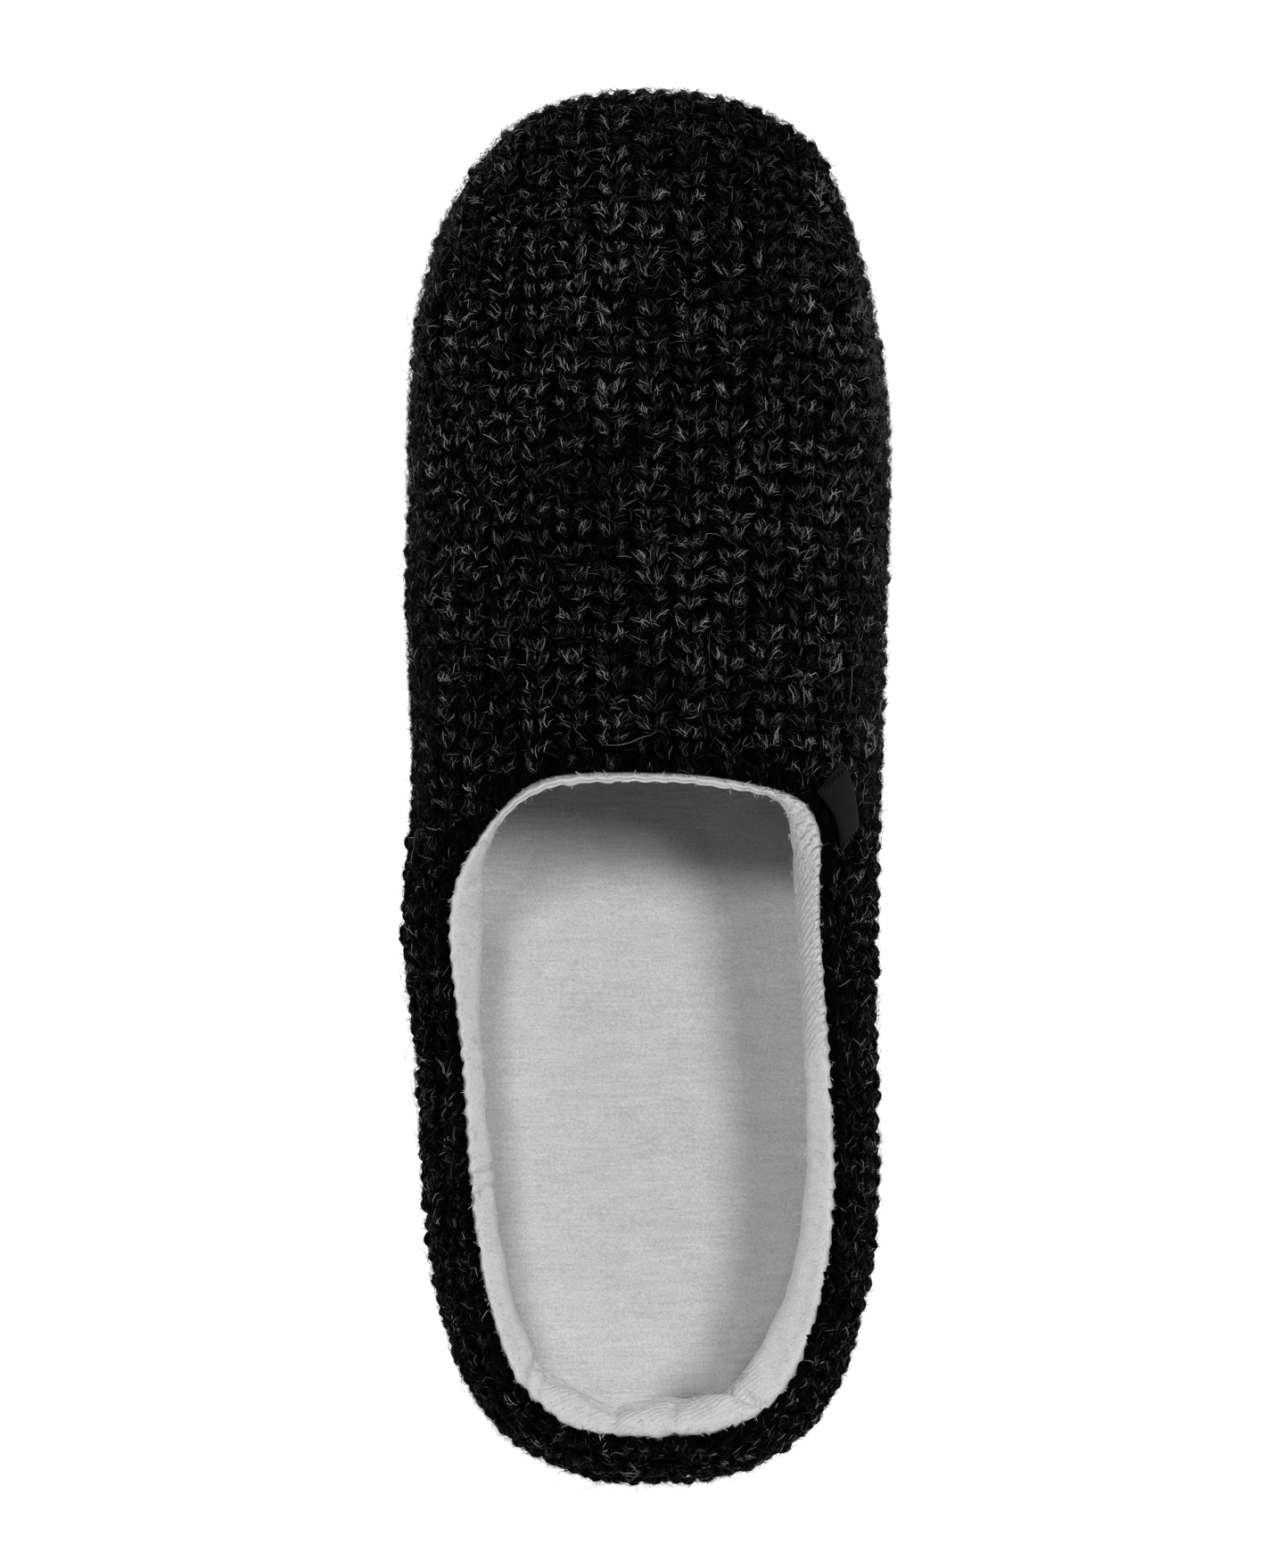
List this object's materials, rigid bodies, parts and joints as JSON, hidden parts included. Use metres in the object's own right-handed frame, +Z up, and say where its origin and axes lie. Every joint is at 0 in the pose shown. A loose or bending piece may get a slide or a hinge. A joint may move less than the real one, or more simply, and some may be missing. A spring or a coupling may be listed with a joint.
{
  "type": "knitted slipper",
  "caption": "Closed-back knitted house slipper with a fleece-lined collar, a padded footbed and a thin rubber outsole, for the left foot.",
  "frame": {"origin": "on the floor, under the middle of the slipper's box", "axes": "+Y from heel to toe, +X to the big toe's side of the left foot, +Z up"},
  "size_m": [0.098, 0.28, 0.0739],
  "materials": {
    "rubber": "matt black moulded rubber",
    "footbed_fleece": "pale grey brushed fleece over foam",
    "knit": "black marl rib knit, fuzzy",
    "lining_fleece": "pale grey fleece",
    "woven_tape": "black woven tape, bare"
  },
  "bodies": {
    "root": {"outsole": "rubber", "insole": "footbed_fleece", "upper": "knit", "collar_lining": "lining_fleece", "side_tag": "woven_tape"}
  },
  "joints": []
}
